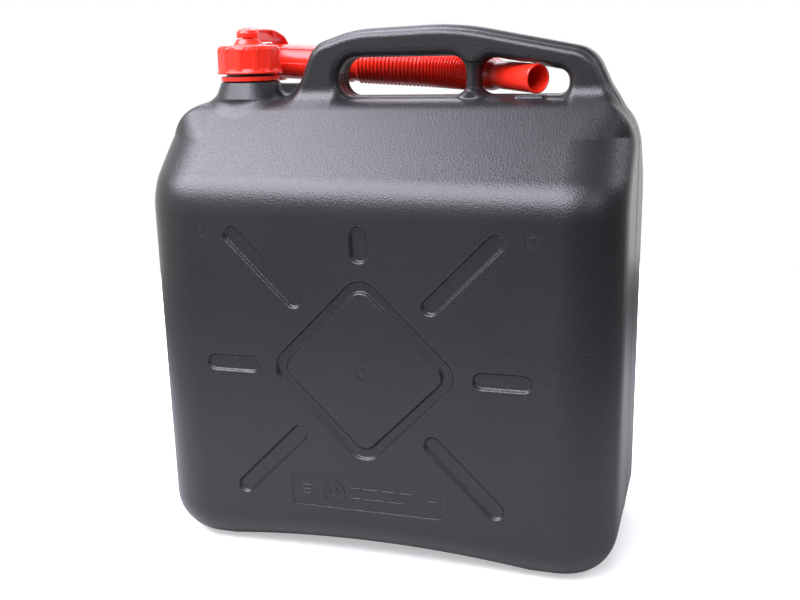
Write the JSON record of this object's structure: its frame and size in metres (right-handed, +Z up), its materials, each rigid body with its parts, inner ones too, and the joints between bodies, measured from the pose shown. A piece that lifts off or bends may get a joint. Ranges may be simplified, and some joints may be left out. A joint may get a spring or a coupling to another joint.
{
  "type": "jerry can",
  "caption": "Portable plastic fuel can with a built-in carrying handle, a screw cap on a keeper strap and a flexible pouring spout stowed through the handle.",
  "frame": {"origin": "centre of the base, at the height that the can stands on", "axes": "+Z up, +X along the width from the neck towards the spout's mouth, -Y towards the front face that the spout's mouth points out of"},
  "size_m": [0.3756, 0.18, 0.4158],
  "materials": {
    "can_plastic": "fine moulded grain, satin",
    "red_plastic": "smooth and glossy",
    "seal_rubber": "matte"
  },
  "bodies": {
    "can": {"can_body": "can_plastic"},
    "ring": {"neck_ring": "red_plastic", "strap_band": "red_plastic"},
    "strap_head": {"strap_eyelet": "red_plastic"},
    "cap": {"screw_cap": "red_plastic", "cap_gasket": "seal_rubber"},
    "spout": {"spout_outlet": "red_plastic", "spout_hose": "red_plastic"},
    "inlet": {"spout_inlet": "red_plastic", "spout_seal": "seal_rubber"}
  },
  "joints": [
    {"name": "ring_swivel", "type": "hinge", "parent": "can", "child": "ring", "pos_m": [-0.1257, 0, 0.3743], "axis": [0, 0, 1], "range_deg": [-5, 5]},
    {"name": "cap_lift", "type": "slide", "parent": "ring", "child": "strap_head", "axis": [0, 0, 1], "range_m": [0, 0.0121], "deforming": ["strap_band"]},
    {"name": "cap_turn", "type": "hinge", "parent": "strap_head", "child": "cap", "pos_m": [-0.1257, 0, 0.3805], "axis": [0, 0, 1], "range_deg": [0, 720]},
    {"name": "spout_pull", "type": "slide", "parent": "can", "child": "spout", "axis": [-0.7538, 0.6553, 0.049], "range_m": [0, 0.13]},
    {"name": "hose_bend", "type": "hinge", "parent": "spout", "child": "inlet", "pos_m": [0.04092, 0.04293, 0.37817], "axis": [0, 0, -1], "range_deg": [0, 41], "deforming": ["spout_hose"]}
  ],
  "couplings": [
    {"joint": "cap_lift", "follows": "cap_turn", "m_per_rad": 0.00095493}
  ]
}
